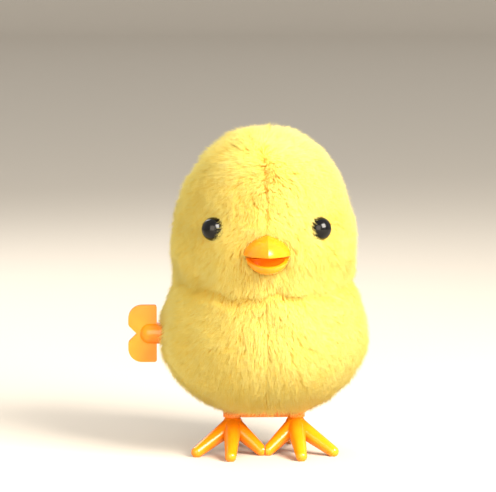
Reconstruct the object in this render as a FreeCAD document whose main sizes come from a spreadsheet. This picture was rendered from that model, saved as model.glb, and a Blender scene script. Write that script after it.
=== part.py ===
"""Wind-up hopping chick: a plush-covered plastic shell with a spring motor that rocks two plastic feet.

Frame, in millimetres: +Z up, -Y the way the chick faces, +X its left side. The origin is on the ground,
on the chick's middle plane, where the tips of the two inner toes meet.
"""
import FreeCAD, Part
import math
import os
import re

import Sketcher
from FreeCAD import Placement, Rotation, Vector

# ---------------------------------------------------------------- driving dimensions
SIZES = {
    # the outer form, to the tips of the pile
    "body_y": 9.0,             # Y of the body's upright axis
    "form_bottom": 10.3,
    "form_top": 93.1,
    "body_level": 33.0,        # height of the widest part of the body
    "neck_level": 50.0,
    "head_level": 58.0,        # height of the widest part of the head
    "body_half_width": 29.6,
    "neck_half_width": 26.0,
    "head_half_width": 26.2,
    "body_more_depth": 0.9,    # how much more the form reaches to the front than to the side
    "neck_more_depth": 0.3,
    "head_more_depth": 0.2,
    "body_back_shift": 1.6,    # how far the middle of the body sits behind the axis
    "neck_back_shift": 0.6,
    "head_back_shift": -1.0,
    "tail_reach": 37.5,        # from the body's axis to the tip of the tail
    "tail_level": 38.0,
    "tail_half_width": 8.5,
    "tail_half_height": 7.5,
    "tail_half_length": 17.0,
    # plush cover and plastic shell
    "cover_thick": 4.6,        # backing cloth and pile, as they lie on the shell
    "cover_thick_bottom": 3.0,
    "glue_gap": 0.2,
    "seam_gap": 0.1,           # between the two halves of the cover, and of the shell
    "shell_wall": 1.2,
    "hem_radius": 13.2,        # opening of the cover round the base plate
    "mouth_radius": 10.4,      # opening of the shell over the base plate
    "leg_way_height": 2.4,     # of the shell's notches for the legs
    "hole_gap": 0.4,           # clearance round anything that passes through a wall
    "bore_gap": 0.05,          # running clearance, on the radius
    "press_gap": 0.01,         # clearance of parts that are pressed together, on the radius
    # base plate
    "base_radius": 13.0,
    "base_low": 14.6,
    "base_thick": 1.5,
    "base_gap": 0.1,
    "base_screw_x": 3.9,
    "base_screw_back": 11.0,   # from the body's axis, to the front and to the back
    "base_screw_radius": 0.8,
    "base_screw_length": 3.6,
    "base_head_radius": 1.5,
    "base_head_height": 0.9,
    "base_boss_radius": 1.8,
    "base_boss_height": 2.4,
    # face
    "eye_radius": 3.3,
    "eye_level": 65.4,
    "eye_angle": 37.5,         # round from the front, in degrees
    "eye_sink": 1.5,           # the bead's centre lies this far under the tips of the pile
    "eye_back": 2.7,           # from the bead's centre to its flat back
    "eye_stem_radius": 1.1,
    "eye_stem_length": 8.2,
    "eye_washer_seat": 5.5,    # from the bead's centre to the washer
    "washer_radius": 3.2,
    "washer_thick": 0.8,
    "beak_level": 58.6,        # height of the line between the two mandibles
    "beak_half_width": 6.5,
    "beak_rise": 5.6,
    "beak_length": 9.6,
    "beak_ridge_shift": 4.5,   # each flank's centre lies this far past the middle plane
    "beak_sink": 2.6,          # the root of the beak lies this far under the tips of the pile
    "beak_gap": 0.15,
    "lower_beak_half_width": 6.0,
    "lower_beak_length": 8.6,
    "lower_beak_drop": 4.2,
    "lower_beak_wall": 0.9,
    "lower_beak_set": 1.3,     # of its back, in front of the root of the upper mandible
    "lower_beak_tilt": 17.0,
    "beak_peg_radius": 1.3,
    "beak_peg_length": 7.4,
    "beak_peg_rise": 2.4,
    "beak_washer_seat": 4.9,   # from the root of the beak to the washer
    "beak_washer_half_width": 4.0,
    "beak_washer_half_height": 5.0,
    # motor frame
    "plate_face": 6.0,         # inner face of each motor plate, from the middle plane
    "plate_thick": 1.0,
    "plate_low": 18.2,
    "plate_margin": 2.6,       # of the plate's outline past the centre of a pillar
    "tab_back": 2.5,           # middle of the foot tab, behind the body's axis
    "tab_half_length": 1.5,
    "arbor_back": 0.5,        # from the body's axis
    "arbor_z": 33.6,
    "arbor_radius": 1.5,
    "pillar_radius": 1.6,
    "pillar_top_reach": 12.6,  # from the arbor, and the direction in degrees
    "pillar_top_bearing": 95.0,
    "pillar_front_reach": 15.2,
    "pillar_front_bearing": 208.0,
    "pillar_rear_reach": 15.5,
    "pillar_rear_bearing": 15.0,
    "frame_screw_radius": 0.7,
    "frame_screw_length": 4.5,
    "frame_head_radius": 1.5,
    "frame_head_height": 0.8,
    "post_radius": 1.8,
    "post_rise": 8.6,          # of the shell's clamping post above the arbor
    "post_peg_radius": 0.8,
    "post_peg_length": 0.8,
    # wheels and pinions
    "tooth_module": 0.5,
    "tooth_addendum": 0.8,     # in modules
    "tooth_dedendum": 1.15,
    "tooth_backlash": 0.09,    # taken off the thickness of each tooth
    "main_teeth": 40,
    "second_teeth": 30,
    "third_teeth": 20,
    "pinion_teeth": 10,
    "second_bearing": -42.0,   # direction of each shaft from the one before it, in degrees
    "third_bearing": 198.0,
    "cam_bearing": 165.0,
    "main_low": -1.5,          # X of each wheel's lower face, and its thickness
    "main_thick": 1.5,
    "second_low": 0.6,
    "second_thick": 1.3,
    "third_low": 2.5,
    "third_thick": 1.3,
    "pinion_over": 0.15,       # a pinion is this much wider than the wheel it meets, each side
    "axle_radius": 0.6,
    "axle_over": 0.3,          # of an axle past the outer face of the plate
    "hub_radius": 1.5,
    # mainspring and ratchet
    "spring_low": -5.7,
    "spring_wide": 2.4,
    "spring_thick": 0.3,
    "spring_inner": 1.85,
    "spring_outer": 9.2,
    "spring_turns": 7,
    "ratchet_low": -2.9,
    "ratchet_thick": 1.1,
    "ratchet_radius": 4.0,
    "ratchet_teeth": 12,
    "ratchet_depth": 0.7,
    "click_thick": 0.35,
    "click_post_radius": 0.7,
    "click_post_reach": 7.4,
    # cam shaft, levers and feet
    "cam_shaft_radius": 0.9,
    "cam_shaft_over": 0.5,
    "cam_radius": 2.4,
    "cam_throw": 1.2,
    "cam_low": 7.7,
    "cam_thick": 1.8,
    "cam_gap": 0.1,
    "pin_back": 7.5,           # of the lever's pivot, behind the body's axis
    "pin_z": 20.6,
    "pin_radius": 1.0,
    "pin_over": 0.6,
    "lever_eye_radius": 2.0,
    "lever_height": 1.9,
    "lever_thick": 1.8,
    "pad_half_length": 2.5,
    "leg_x": 8.9,
    "leg_back": -3.5,          # from the body's axis
    "leg_radius": 1.5,
    "leg_foot": 6.6,
    "slot_front": 2.9,
    "slot_back": 2.0,
    "bar_low": 10.2,
    "bar_height": 1.7,
    "bar_half_depth": 1.5,
    "bar_ring_radius": 2.7,
    "foot_gap": 0.1,
    "ankle_z": 8.0,
    "ankle_radius": 2.9,
    "toe_root_radius": 2.6,
    "toe_tip_radius": 1.6,
    "toe_tip_z": 1.3,
    "toe_gap": 0.3,            # between the flats where the two inner toes meet
    "outer_toe_x": 19.2,
    "outer_toe_y": -2.0,
    "middle_toe_x": 9.9,
    "middle_toe_y": -9.5,
    "inner_toe_x": 0.9,
    "hind_toe_x": 8.0,
    "hind_toe_y": 19.5,
    # winding key
    "key_radius": 3.0,
    "key_end": -35.1,          # tip of the domed shaft
    "key_root": -17.0,
    "key_socket": -30.0,       # how far the arbor reaches into it
    "bow_inner": -30.3,
    "bow_outer": -38.4,
    "bow_waist": -36.0,
    "bow_waist_half": 2.4,
    "bow_half_height": 8.1,
    "bow_thick": 2.2,
    "bow_outer_corner": 3.9,
    "bow_inner_corner": 0.7,
    "bow_waist_corner": 1.2,
    "key_dome": 2.7,
}

# places worked out from the sizes
PLACES = {
    "arbor_y": "body_y + arbor_back",
    "second_reach": "tooth_module * (main_teeth + pinion_teeth) / 2",
    "third_reach": "tooth_module * (second_teeth + pinion_teeth) / 2",
    "cam_reach": "tooth_module * (third_teeth + pinion_teeth) / 2",
    "second_y": "arbor_y + second_reach * cos(second_bearing * 1deg)",
    "second_z": "arbor_z + second_reach * sin(second_bearing * 1deg)",
    "third_y": "second_y + third_reach * cos(third_bearing * 1deg)",
    "third_z": "second_z + third_reach * sin(third_bearing * 1deg)",
    "cam_y": "third_y + cam_reach * cos(cam_bearing * 1deg)",
    "cam_z": "third_z + cam_reach * sin(cam_bearing * 1deg)",
    "top_pillar_y": "arbor_y + pillar_top_reach * cos(pillar_top_bearing * 1deg)",
    "top_pillar_z": "arbor_z + pillar_top_reach * sin(pillar_top_bearing * 1deg)",
    "front_pillar_y": "arbor_y + pillar_front_reach * cos(pillar_front_bearing * 1deg)",
    "front_pillar_z": "arbor_z + pillar_front_reach * sin(pillar_front_bearing * 1deg)",
    "rear_pillar_y": "arbor_y + pillar_rear_reach * cos(pillar_rear_bearing * 1deg)",
    "rear_pillar_z": "arbor_z + pillar_rear_reach * sin(pillar_rear_bearing * 1deg)",
    "post_z": "arbor_z + post_rise",
    "tab_y": "body_y + tab_back",
    "plate_outer": "plate_face + plate_thick",
    "pin_y": "body_y + pin_back",
    "pin_end": "leg_x + lever_thick / 2 + pin_over",
    "leg_y": "body_y + leg_back",
    "pad_top": "cam_z - cam_radius - cam_throw - cam_gap",
    "base_top": "base_low + base_thick",
    "shell_foot": "base_top + base_gap",
    "shell_inset": "cover_thick + glue_gap",
    "shell_bottom": "form_bottom + cover_thick_bottom + glue_gap",
    "inside_inset": "shell_inset + shell_wall",
    "inside_bottom": "shell_bottom + shell_wall",
    "cover_bottom": "form_bottom + cover_thick_bottom",
    "head_y": "body_y + head_back_shift",
    "eye_reach": "head_half_width * sqrt(1 - ((eye_level - head_level) / (form_top - head_level)) ^ 2)"
                 " - eye_sink",
    "eye_x": "eye_reach * sin(eye_angle * 1deg)",
    "eye_y": "head_y - eye_reach * cos(eye_angle * 1deg)",
    "beak_root_y": "head_y - head_half_width - head_more_depth + beak_sink",
    "beak_flank_width": "beak_half_width + beak_ridge_shift",
    "beak_ridge_share": "sqrt(1 - (beak_ridge_shift / beak_flank_width) ^ 2)",
    "far_side": "2 * body_half_width",
}

doc = FreeCAD.newDocument("hopping_chick")
sheet = doc.addObject("Spreadsheet::Sheet", "Sizes")
places = doc.addObject("Spreadsheet::Sheet", "Places")


def cell(text):
    """An expression in plain aliases, written as FreeCAD wants it."""
    def owned(match):
        alias = match.group(0)
        return f"Sizes.{alias}" if alias in SIZES else f"Places.{alias}"
    return re.sub(r"[a-z]+(?:_[a-z]+)+", owned, str(text))


for row, (alias, number) in enumerate(SIZES.items(), start=1):
    sheet.set(f"A{row}", alias)
    sheet.set(f"B{row}", str(number))
    sheet.setAlias(f"B{row}", alias)
for row, (alias, formula) in enumerate(PLACES.items(), start=1):
    places.set(f"A{row}", alias)
    places.set(f"B{row}", "=" + cell(formula).replace("Places.", ""))
    places.setAlias(f"B{row}", alias)
doc.recompute()


def value(text):
    """The number that an expression in plain aliases gives now."""
    return float(sheet.evalExpression(cell(text)))


# ---------------------------------------------------------------- building blocks
SIDES = {"left": 1, "right": -1}       # the chick's own sides
TURN_TO = {
    "X": Rotation(Vector(0, 1, 0), 90),
    "Y": Rotation(Vector(1, 0, 0), -90),
    "Z": Rotation(),
}
NODES = []


def bind(thing, **texts):
    """Ties properties of an object to the sheets."""
    for name, text in texts.items():
        thing.setExpression(name.replace("__", "."), cell(text))
    return thing


def put(thing, x="0", y="0", z="0", turn=Rotation()):
    """Gives an object its Placement, with its position tied to the sheets."""
    thing.Placement = Placement(Vector(), turn)
    return bind(thing, Placement__Base__x=x, Placement__Base__y=y, Placement__Base__z=z)


def rod(name, radius, length, axis="Z", **at):
    """A cylinder that starts at a point and runs along +X, +Y or +Z."""
    made = bind(doc.addObject("Part::Cylinder", name), Radius=radius, Height=length)
    return put(made, turn=TURN_TO[axis], **at)


def block(name, x, y, z):
    """A box between two expressions on each axis."""
    made = doc.addObject("Part::Box", name)
    bind(made, Length=f"{x[1]} - ({x[0]})", Width=f"{y[1]} - ({y[0]})", Height=f"{z[1]} - ({z[0]})")
    return put(made, x=x[0], y=y[0], z=z[0])


def ball(name, radius, **at):
    return put(bind(doc.addObject("Part::Sphere", name), Radius=radius), **at)


def egg(name, wide, deep, high, **at):
    """An ellipsoid by its three half sizes."""
    made = doc.addObject("Part::Ellipsoid", name)
    bind(made, Radius1=high, Radius2=wide, Radius3=deep)
    return put(made, **at)


def join(name, pieces):
    made = doc.addObject("Part::MultiFuse", name)
    made.Shapes = pieces
    return made


def carve(name, base, tools):
    """A piece with other pieces taken out of it."""
    made = doc.addObject("Part::Cut", name)
    made.Base = base
    made.Tool = tools[0] if len(tools) == 1 else join(f"{name}_tools", tools)
    return made


def keep(name, pieces):
    """What several pieces have in common."""
    made = pieces[0]
    for piece in pieces[1:]:
        both = doc.addObject("Part::Common", name)
        both.Base = made
        both.Tool = piece
        made = both
    return made


def group(name, pieces):
    """Several separate solids of one kind in one node."""
    made = doc.addObject("Part::Compound", name)
    made.Links = pieces
    return made


def node(label, thing):
    """Names a finished sub-part; its label is the name of its file."""
    thing.Label = label
    NODES.append(thing)
    return thing


# ---------------------------------------------------------------- bodies and sketches
def body(name):
    return doc.addObject("PartDesign::Body", name)


def origin_of(owner, role):
    return next(one for one in owner.Origin.OriginFeatures if one.Role == role)


def sketch(owner, plane, lift="0", spin="0"):
    """A sketch on one of the body's own planes, lifted along its normal and spun about it."""
    made = owner.newObject("Sketcher::SketchObject", f"{owner.Name}_sketch")
    made.AttachmentSupport = (origin_of(owner, plane), [""])
    made.MapMode = "FlatFace"
    made.AttachmentOffset = Placement(Vector(), Rotation(Vector(0, 0, 1), 0))
    made.setExpression("AttachmentOffset.Base.z", cell(lift))
    made.setExpression("AttachmentOffset.Rotation.Angle", cell(f"({spin}) * 1deg"))
    return made


def pin_point(drawing, element, vertex, across, up):
    """Ties a point of a sketch to the sketch's origin."""
    for kind, text in (("DistanceX", across), ("DistanceY", up)):
        tie = Sketcher.Constraint(kind, -1, 1, element, vertex, value(text))
        drawing.setExpression(f"Constraints[{drawing.addConstraint(tie)}]", cell(text))


def circle(drawing, radius, across="0", up="0"):
    centre = Vector(value(across), value(up), 0)
    drawn = drawing.addGeometry(Part.Circle(centre, Vector(0, 0, 1), value(radius)))
    tie = drawing.addConstraint(Sketcher.Constraint("Radius", drawn, value(radius)))
    drawing.setExpression(f"Constraints[{tie}]", cell(radius))
    pin_point(drawing, drawn, 3, across, up)


def outline(drawing, points):
    """A closed outline of straight lines, each corner tied to the sheets."""
    corners = [Vector(value(across), value(up), 0) for across, up in points]
    lines = []
    for start, end in zip(corners, corners[1:] + corners[:1]):
        lines.append(drawing.addGeometry(Part.LineSegment(start, end)))
    for line, following in zip(lines, lines[1:] + lines[:1]):
        drawing.addConstraint(Sketcher.Constraint("Coincident", line, 2, following, 1))
    for line, (across, up) in zip(lines, points):
        pin_point(drawing, line, 1, across, up)


def free_outline(drawing, points):
    """A closed outline whose corners follow a formula."""
    for start, end in zip(points, points[1:] + points[:1]):
        drawing.addGeometry(Part.LineSegment(start, end))


def rectangle(drawing, across, up):
    outline(drawing, [(across[0], up[0]), (across[1], up[0]), (across[1], up[1]), (across[0], up[1])])


def pad(owner, drawing, length):
    made = owner.newObject("PartDesign::Pad", f"{owner.Name}_pad")
    made.Profile = drawing
    return bind(made, Length=length)


def pocket(owner, drawing, length=None):
    """Cuts from the sketch along its normal, or right through both ways, and checks that it cuts."""
    doc.recompute()
    before = owner.Shape.Volume
    made = owner.newObject("PartDesign::Pocket", f"{owner.Name}_pocket")
    made.Profile = drawing
    if length is None:
        made.Type = "ThroughAll"
        made.Midplane = True
    else:
        made.Reversed = True
        bind(made, Length=length)
    doc.recompute()
    if made.Shape.Volume >= before - 1e-6:
        raise ValueError(f"{made.Name} cuts nothing")
    return made


# ---------------------------------------------------------------- the chick's rounded form
BOTTOM_ANGLES = (14, 28, 43, 58, 74, 90)
HEAD_ANGLES = (0, 17, 34, 50, 64, 76, 85)


def form(name, inset, bottom):
    """The whole outer form, drawn in by an inset: oval sections from the bottom to the crown."""
    sections = []

    def section(half_width, more_depth, shift, level):
        made = doc.addObject("Part::Ellipse", f"{name}_section")
        bind(made, MinorRadius=half_width, MajorRadius=f"{half_width} + {more_depth}")
        put(made, y=f"body_y + {shift}", z=level, turn=Rotation(Vector(0, 0, 1), 90))
        sections.append(made)

    for angle in BOTTOM_ANGLES:
        wide = round(math.sin(math.radians(angle)), 5)
        drop = round(math.cos(math.radians(angle)), 5)
        section(f"(body_half_width - {inset}) * {wide}", f"body_more_depth * {wide}",
                f"body_back_shift * {wide}", f"body_level - (body_level - {bottom}) * {drop}")
    section(f"neck_half_width - {inset}", "neck_more_depth", "neck_back_shift", "neck_level")
    for angle in HEAD_ANGLES:
        wide = round(math.cos(math.radians(angle)), 5)
        rise = round(math.sin(math.radians(angle)), 5)
        section(f"(head_half_width - {inset}) * {wide}", f"head_more_depth * {wide}",
                "head_back_shift", f"head_level + (form_top - {inset} - head_level) * {rise}")
    made = doc.addObject("Part::Loft", name)
    made.Sections = sections
    made.Solid = True
    return made


def half_space(name, side):
    """Everything to one side of the seam."""
    ends = ["seam_gap / 2", "far_side"]
    if SIDES[side] < 0:
        ends = ["-far_side", "-seam_gap / 2"]
    return block(name, ends, ("-far_side", "2 * far_side"), ("0", "2 * form_top"))


def eye_line(name, side, radius, start, length):
    """A rod along the line that an eye faces, from a depth behind the bead's centre inwards."""
    sign = SIDES[side]
    turn = Rotation(Vector(0, 0, 1), sign * value("eye_angle")) * Rotation(Vector(1, 0, 0), -90)
    made = bind(doc.addObject("Part::Cylinder", name), Radius=radius, Height=length)
    return put(made, turn=turn, x=f"{sign} * (eye_x - ({start}) * sin(eye_angle * 1deg))",
               y=f"eye_y + ({start}) * cos(eye_angle * 1deg)", z="eye_level")


def beak_pegs(name, radius, length):
    """The upper and the lower peg of the beak, from its root backwards."""
    levels = {"upper": "beak_level + beak_peg_rise", "lower": "beak_level - beak_peg_rise"}
    return {
        which: rod(f"{name}_{which}", radius, f"{length} + lower_beak_set", "Y",
                   y="beak_root_y - lower_beak_set", z=level)
        for which, level in levels.items()
    }


def cover():
    """The plush cover: two sewn panels that meet on the middle plane, with a stuffed tail."""
    tail = egg("tail", "tail_half_width", "tail_half_length", "tail_half_height",
               y="body_y + tail_reach - tail_half_length", z="tail_level")
    outside = join("cover_outside", [form("cover_form", "0", "form_bottom"), tail])
    hem = rod("hem_opening", "hem_radius", "body_level - form_bottom", y="body_y", z="form_bottom - 1")
    hollow = carve("cover_hollow", outside, [form("cover_lining", "cover_thick", "cover_bottom"), hem])
    for side, sign in SIDES.items():
        half = keep(f"cover_{side}_half", [hollow, half_space(f"cover_{side}_side", side)])
        openings = [
            ball(f"eye_pocket_{side}", "eye_radius + glue_gap",
                 x=f"{sign} * eye_x", y="eye_y", z="eye_level"),
            eye_line(f"cover_eye_hole_{side}", side, "eye_stem_radius + hole_gap", "0", "eye_stem_length"),
            rod(f"beak_pocket_{side}", "beak_half_width + hole_gap", "beak_length", "Y",
                y="beak_root_y - beak_length + beak_gap", z="beak_level"),
            *beak_pegs(f"cover_peg_hole_{side}", "beak_peg_radius + hole_gap", "beak_peg_length").values(),
        ]
        if side == "right":
            openings.append(key_hole("cover_key_hole"))
        node(f"cover_{side}", carve(f"cover_{side}", half, openings))


def key_hole(name):
    return rod(name, "key_radius + hole_gap", "far_side", "X", x="-far_side", y="arbor_y", z="arbor_z")


def shell():
    """The two halves of the plastic shell, with the posts that clamp the motor and the screw bosses."""
    outside = form("shell_form", "shell_inset", "shell_bottom")
    inside = form("shell_inside", "inside_inset", "inside_bottom")
    mouth = rod("shell_mouth", "mouth_radius", "shell_foot", y="body_y", z="mouth_radius")
    under = block("shell_under", ("-far_side", "far_side"), ("-far_side", "2 * far_side"),
                  ("0", "shell_foot"))
    hollow = carve("shell_hollow", outside, [inside, under, mouth])
    for side, sign in SIDES.items():
        half = keep(f"shell_{side}_half", [hollow, half_space(f"shell_{side}_side", side)])
        start = "plate_outer + base_gap" if sign > 0 else "-far_side"
        post = rod(f"post_{side}", "post_radius", "far_side - plate_outer - base_gap", "X",
                   x=start, y="arbor_y", z="post_z")
        peg_start = "plate_outer + base_gap - post_peg_length"
        if sign < 0:
            peg_start = "-plate_outer - base_gap"
        peg = rod(f"post_peg_{side}", "post_peg_radius", "post_peg_length", "X",
                  x=peg_start, y="arbor_y", z="post_z")
        inner = [post, peg]
        bores = []
        for end in (-1, 1):
            spot = {"x": f"{sign} * base_screw_x", "y": f"body_y + {end} * base_screw_back"}
            inner.append(rod(f"boss_{side}", "base_boss_radius", "base_boss_height", z="shell_foot", **spot))
            bores.append(rod(f"boss_bore_{side}", "base_screw_radius + press_gap", "base_screw_length",
                             z="base_low + base_gap", **spot))
        trimmed = keep(f"shell_{side}_inner", [join(f"shell_{side}_posts", inner), outside])
        slot = [f"{sign} * (leg_x - leg_radius - hole_gap)", f"{sign} * far_side"][::sign]
        leg_way = block(f"shell_leg_way_{side}", slot, ("leg_y - slot_front", "leg_y + slot_back"),
                        ("shell_foot - 1", "shell_foot + leg_way_height"))
        openings = bores + [
            leg_way,
            eye_line(f"shell_eye_hole_{side}", side, "eye_stem_radius + glue_gap", "0", "eye_stem_length"),
            *beak_pegs(f"shell_peg_hole_{side}", "beak_peg_radius + glue_gap", "beak_peg_length").values(),
        ]
        if side == "right":
            openings.append(key_hole("shell_key_hole"))
        node(f"shell_{side}", carve(f"shell_{side}", join(f"shell_{side}_whole", [half, trimmed]), openings))


def base_plate():
    """The orange plate that closes the bottom, with slots for the legs and for the motor's tabs."""
    owner = body("base_plate")
    drawing = sketch(owner, "XY_Plane", "base_low")
    circle(drawing, "base_radius", "0", "body_y")
    pad(owner, drawing, "base_thick")
    drawing = sketch(owner, "XY_Plane", "base_low")
    for sign in SIDES.values():
        slot = ["leg_x - leg_radius - hole_gap", "leg_x + leg_radius + hole_gap"]
        tab = ["plate_face - base_gap", "plate_outer + base_gap"]
        sides = [f"{sign} * ({one})" for one in slot]
        rectangle(drawing, sides, ("leg_y - slot_front", "leg_y + slot_back"))
        rectangle(drawing, [f"{sign} * ({one})" for one in tab],
                  ("tab_y - tab_half_length - base_gap", "tab_y + tab_half_length + base_gap"))
        for end in (-1, 1):
            circle(drawing, "base_screw_radius + bore_gap", f"{sign} * base_screw_x",
                   f"body_y + {end} * base_screw_back")
    pocket(owner, drawing)
    node("base_plate", owner)


def base_screws():
    """Four self-tapping screws that hold the base plate to the shell."""
    made = []
    for sign in SIDES.values():
        for end in (-1, 1):
            spot = {"x": f"{sign} * base_screw_x", "y": f"body_y + {end} * base_screw_back"}
            shank = rod("base_shank", "base_screw_radius", "base_screw_length", z="base_low", **spot)
            head = rod("base_head", "base_head_radius", "base_head_height",
                       z="base_low - base_head_height", **spot)
            made.append(join("base_screw", [shank, head]))
    node("base_screws", group("base_screws", made))


# ---------------------------------------------------------------- face
def eyes():
    """Two black safety eyes: a bead on a stem, held inside the shell by a washer."""
    washers = []
    for side, sign in SIDES.items():
        whole = ball(f"bead_{side}", "eye_radius", x=f"{sign} * eye_x", y="eye_y", z="eye_level")
        front = eye_line(f"bead_front_{side}", side, "2 * eye_radius", "-2 * eye_radius",
                         "2 * eye_radius + eye_back")
        bead = keep(f"bead_cut_{side}", [whole, front])
        stem = eye_line(f"stem_{side}", side, "eye_stem_radius", "0", "eye_stem_length")
        node(f"eye_{side}", join(f"eye_{side}", [bead, stem]))
        disc = eye_line(f"eye_disc_{side}", side, "washer_radius", "eye_washer_seat", "washer_thick")
        hole = eye_line(f"eye_disc_hole_{side}", side, "eye_stem_radius + press_gap", "0", "eye_stem_length")
        washers.append(carve(f"eye_washer_{side}", disc, [hole]))
    node("eye_washers", group("eye_washers", washers))


def beak():
    """An upper mandible with a ridge, a lower one like a scoop, and the plate that holds their pegs."""
    pegs = beak_pegs("beak_peg", "beak_peg_radius", "beak_peg_length")
    flanks = [
        egg("beak_flank", "beak_flank_width", "beak_length / beak_ridge_share",
            "beak_rise / beak_ridge_share", x=f"{sign} * beak_ridge_shift", y="beak_root_y",
            z="beak_level + beak_gap")
        for sign in SIDES.values()
    ]
    above = block("above_mouth", ("-far_side", "far_side"), ("-far_side", "beak_root_y"),
                  ("beak_level + beak_gap", "form_top"))
    roof = keep("beak_roof", flanks + [above])
    node("beak_upper", join("beak_upper", [roof, pegs["upper"]]))

    walls = {"outside": "0", "hollow": "lower_beak_wall"}
    scoop = {
        name: egg(f"scoop_{name}", f"lower_beak_half_width - {wall}", f"lower_beak_length - {wall}",
                  f"lower_beak_drop - {wall}")
        for name, wall in walls.items()
    }
    below = block("below_mouth", ("-far_side", "far_side"), ("-far_side", "-lower_beak_set"),
                  ("-far_side", "0"))
    rear = block("scoop_rear", ("-far_side", "far_side"),
                 ("-lower_beak_set - lower_beak_wall", "-lower_beak_set"), ("-far_side", "0"))
    bowl = carve("beak_bowl", keep("scoop_block", [scoop["outside"], below]), [scoop["hollow"]])
    back = keep("beak_back", [scoop["outside"], rear])
    tilt = Rotation(Vector(1, 0, 0), value("lower_beak_tilt"))
    tilted = put(join("beak_scoop", [bowl, back]), turn=tilt, y="beak_root_y", z="beak_level - beak_gap")
    node("beak_lower", join("beak_lower", [tilted, pegs["lower"]]))

    plate = block("beak_washer_plate", ("-beak_washer_half_width", "beak_washer_half_width"),
                  ("beak_root_y + beak_washer_seat", "beak_root_y + beak_washer_seat + washer_thick"),
                  ("beak_level - beak_washer_half_height", "beak_level + beak_washer_half_height"))
    holes = beak_pegs("beak_washer_hole", "beak_peg_radius + press_gap", "beak_peg_length")
    node("beak_washer", carve("beak_washer", plate, list(holes.values())))


# ---------------------------------------------------------------- motor frame
PILLARS = ("top_pillar", "front_pillar", "rear_pillar")


def motor_plates():
    """Two steel plates that carry every shaft; a tab of each sits in the base plate."""
    edge = [
        ("front_pillar_y - plate_margin", "front_pillar_z + plate_margin"),
        ("front_pillar_y - plate_margin", "front_pillar_z - plate_margin"),
        ("cam_y - plate_margin", "plate_low"),
        ("tab_y - tab_half_length", "plate_low"),
        ("tab_y - tab_half_length", "base_low + base_gap"),
        ("tab_y + tab_half_length", "base_low + base_gap"),
        ("tab_y + tab_half_length", "plate_low"),
        ("pin_y + 2 * pin_radius", "plate_low"),
        ("second_y + 2 * plate_margin", "second_z"),
        ("rear_pillar_y + plate_margin", "rear_pillar_z - plate_margin"),
        ("rear_pillar_y + plate_margin", "rear_pillar_z + plate_margin"),
        ("top_pillar_y + plate_margin", "top_pillar_z + plate_margin"),
        ("top_pillar_y - plate_margin", "top_pillar_z + plate_margin"),
    ]
    for side, sign in SIDES.items():
        low = "plate_face" if sign > 0 else "-plate_outer"
        owner = body(f"motor_plate_{side}")
        drawing = sketch(owner, "YZ_Plane", low)
        outline(drawing, edge)
        pad(owner, drawing, "plate_thick")
        drawing = sketch(owner, "YZ_Plane", low)
        circle(drawing, "arbor_radius + bore_gap", "arbor_y", "arbor_z")
        circle(drawing, "axle_radius + bore_gap", "second_y", "second_z")
        circle(drawing, "axle_radius + bore_gap", "third_y", "third_z")
        circle(drawing, "cam_shaft_radius + bore_gap", "cam_y", "cam_z")
        circle(drawing, "pin_radius + press_gap", "pin_y", "pin_z")
        circle(drawing, "post_peg_radius + base_gap", "arbor_y", "post_z")
        for pillar in PILLARS:
            circle(drawing, "frame_screw_radius + bore_gap", f"{pillar}_y", f"{pillar}_z")
        pocket(owner, drawing)
        node(f"motor_plate_{side}", owner)


def pillars_and_screws():
    """Three brass pillars between the plates, and the six screws that hold the plates to them."""
    pillars = []
    screws = []
    for pillar in PILLARS:
        spot = {"y": f"{pillar}_y", "z": f"{pillar}_z"}
        column = rod(f"{pillar}_column", "pillar_radius", "2 * plate_face", "X", x="-plate_face", **spot)
        bore = rod(f"{pillar}_bore", "frame_screw_radius + press_gap", "2 * plate_face", "X",
                   x="-plate_face", **spot)
        pillars.append(carve(pillar, column, [bore]))
        for sign in SIDES.values():
            tip = "plate_outer - frame_screw_length" if sign > 0 else "-plate_outer"
            shank = rod("frame_shank", "frame_screw_radius", "frame_screw_length", "X", x=tip, **spot)
            seat = "plate_outer" if sign > 0 else "-plate_outer - frame_head_height"
            head = rod("frame_head", "frame_head_radius", "frame_head_height", "X", x=seat, **spot)
            screws.append(join("frame_screw", [shank, head]))
    node("frame_pillars", group("frame_pillars", pillars))
    node("frame_screws", group("frame_screws", screws))


# ---------------------------------------------------------------- wheels and pinions
PRESSURE_ANGLE = math.radians(20)


def involute(angle):
    return math.tan(angle) - angle


def tooth_space(teeth):
    """The outline of one space between two teeth, with its middle on the sketch's first axis."""
    module = value("tooth_module")
    pitch = module * teeth / 2
    base = pitch * math.cos(PRESSURE_ANGLE)
    tip = pitch + module * value("tooth_addendum")
    root = pitch - module * value("tooth_dedendum")
    at_pitch = (math.pi * module / 2 + value("tooth_backlash")) / (2 * pitch)

    def half_angle(radius):
        leaning = math.acos(min(1.0, base / radius))
        return at_pitch - involute(PRESSURE_ANGLE) + involute(leaning)

    radii = (root, max(root, base), pitch, (pitch + tip) / 2, tip)
    flank = [(radius, half_angle(radius)) for radius in radii]
    flank.append((tip + module / 2, half_angle(tip)))
    if base <= root:
        flank.pop(1)
    upper = [Vector(r * math.cos(a), r * math.sin(a), 0) for r, a in flank]
    lower = [Vector(one.x, -one.y, 0) for one in reversed(upper)]
    return upper + lower


def toothed(owner, teeth, low, thick, spin):
    """Adds a toothed rim: a blank, one space cut out of it, and that space repeated all round."""
    drawing = sketch(owner, "YZ_Plane", low)
    circle(drawing, f"tooth_module * ({teeth} / 2 + tooth_addendum)")
    pad(owner, drawing, thick)
    drawing = sketch(owner, "YZ_Plane", low, spin)
    free_outline(drawing, tooth_space(int(value(teeth))))
    cut = pocket(owner, drawing, thick)
    ring = owner.newObject("PartDesign::PolarPattern", f"{owner.Name}_spaces")
    ring.Originals = [cut]
    ring.Axis = (origin_of(owner, "X_Axis"), [""])
    ring.Angle = 360
    bind(ring, Occurrences=teeth)
    owner.Tip = ring


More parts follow.
